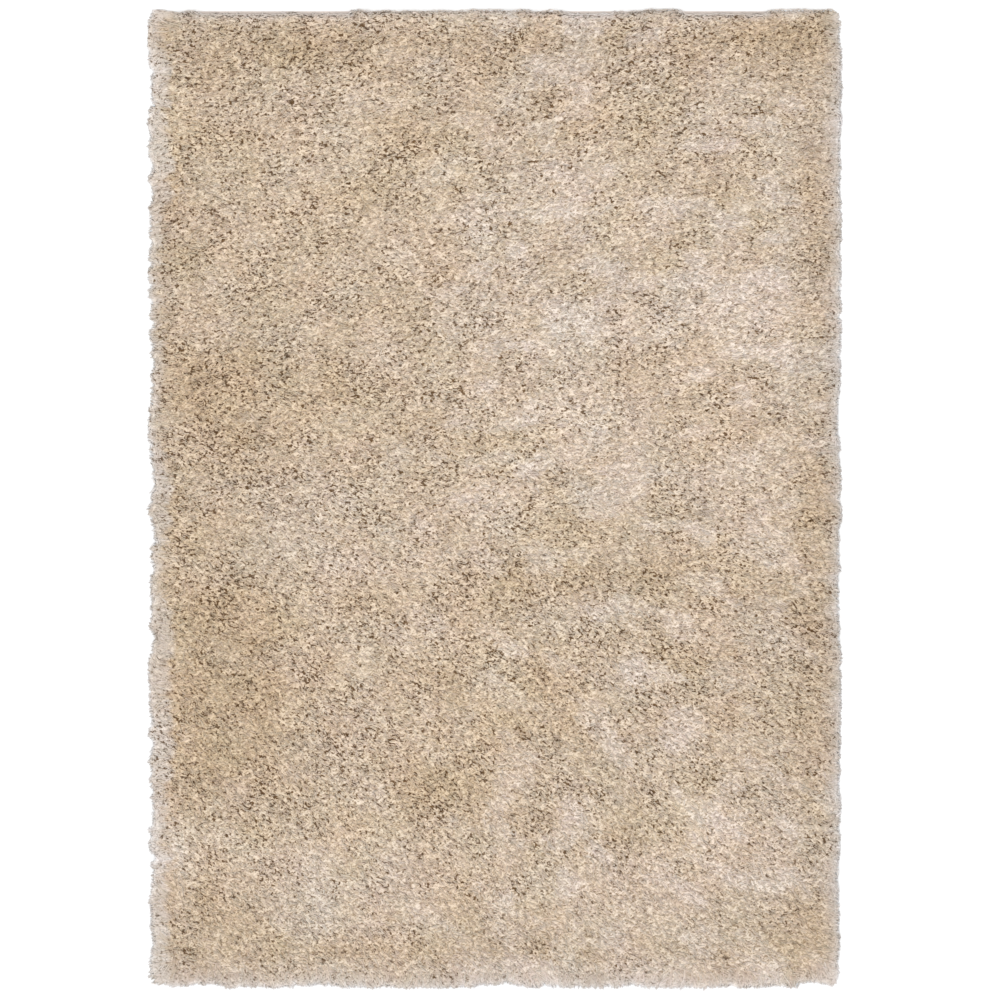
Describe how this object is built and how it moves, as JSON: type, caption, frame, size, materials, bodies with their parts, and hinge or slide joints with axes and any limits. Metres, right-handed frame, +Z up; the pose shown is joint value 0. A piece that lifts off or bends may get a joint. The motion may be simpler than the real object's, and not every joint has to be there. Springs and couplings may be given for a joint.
{
  "type": "shag rug",
  "caption": "Flat rectangular shag rug: a deep, lumpy cut pile tufted into a thin cloth backing, with loose locks of yarn spilling past its edges.",
  "frame": {"origin": "on the floor, in the middle of the rug's outline", "axes": "+Y along the rug's length towards its head, +X across its width, +Z up out of the pile"},
  "size_m": [1.7002, 2.3994, 0.0507],
  "materials": {
    "pile_yarn": "matt beige yarn, paler at its tips and warm brown between the tufts",
    "backing_cloth": "matt, plain-woven, greyish beige"
  },
  "bodies": {
    "root": {"backing": "backing_cloth", "pile": "pile_yarn"}
  },
  "joints": []
}
